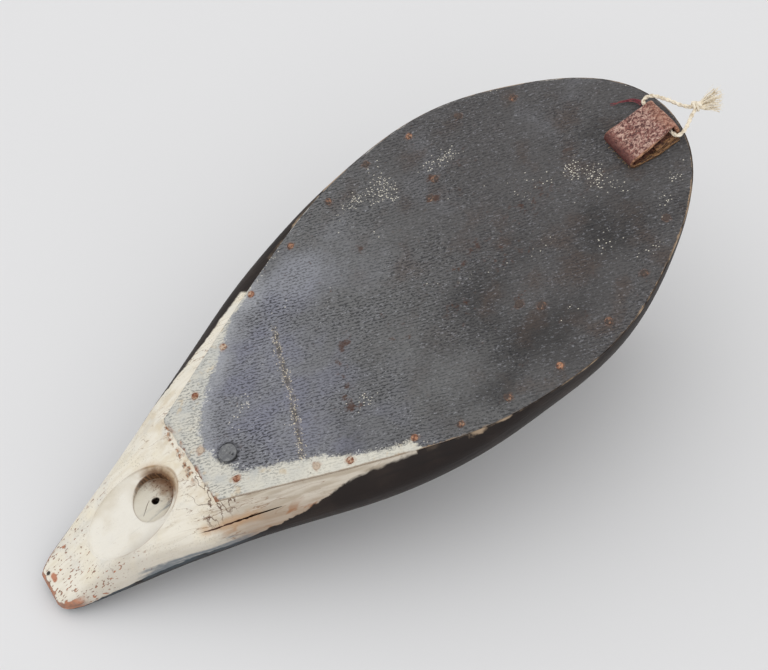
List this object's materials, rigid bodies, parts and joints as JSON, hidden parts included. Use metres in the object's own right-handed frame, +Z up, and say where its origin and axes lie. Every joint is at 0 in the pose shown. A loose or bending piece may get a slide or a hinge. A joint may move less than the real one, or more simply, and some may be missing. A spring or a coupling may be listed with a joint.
{
  "type": "floating duck decoy",
  "caption": "Hollow carved wooden floating duck decoy with a flat canvas-covered bottom, scooped tail, turning head and leather anchor loop, stored lying upside down.",
  "frame": {"origin": "bottom centre of the box round the decoy as it lies upside down at rest, on the surface that its crown and tail tip touch; the loose twine is left out of that box", "axes": "+Z up, so the decoy's flat canvas bottom faces up and leans back towards the tail by the resting pitch; +X along the length, tail to breast, with the breast raised; +Y is the decoy's starboard side as it lies"},
  "size_m": [0.3972, 0.1864, 0.1516],
  "materials": {
    "painted_wood": "old matt oil paint, near-black brown with cream white at the tail, worn to bare wood at edges",
    "board_wood": "bare planed softwood",
    "peg_wood": "bare turned birch",
    "painted_canvas": "coarse canvas filled with dull charcoal paint",
    "iron": "rough, rusty",
    "rusty_steel": "rusted cut tack and nail heads",
    "dark_steel": "dark flat head, painted over at the edge",
    "leather": "red-brown grained leather, dry, with pale cut edges",
    "twine": "natural undyed twine",
    "eye_glass": "glossy amber and black bead"
  },
  "bodies": {
    "hull": {"hull": "painted_wood", "bottom_board_rear": "board_wood", "bottom_board_front": "board_wood", "board_cleat": "board_wood", "ballast_bar": "iron", "bottom_canvas": "painted_canvas", "canvas_tacks": "rusty_steel", "board_nails": "rusty_steel", "cleat_nails": "rusty_steel", "ballast_nails": "rusty_steel", "tail_clout": "dark_steel", "loop_nail": "rusty_steel"},
    "neck_peg": {"neck_peg": "peg_wood", "neck_washer": "leather"},
    "head": {"head": "painted_wood", "head_pin": "peg_wood", "eye_port": "eye_glass", "eye_starboard": "eye_glass"},
    "anchor_loop": {"anchor_loop": "leather", "tie_twine": "twine", "twine_knot": "twine"}
  },
  "joints": [
    {"name": "neck_lift", "type": "slide", "parent": "hull", "child": "neck_peg", "axis": [0.2738, 0, -0.9618], "range_m": [0, 0.032]},
    {"name": "head_swivel", "type": "hinge", "parent": "neck_peg", "child": "head", "pos_m": [0.11238, 0, 0.04479], "axis": [0.2738, 0, -0.9618], "continuous": true},
    {"name": "loop_swivel", "type": "hinge", "parent": "hull", "child": "anchor_loop", "pos_m": [0.16796, -0.006, 0.13443], "axis": [-0.2738, 0, 0.9618], "range_deg": [-40, 40]}
  ]
}
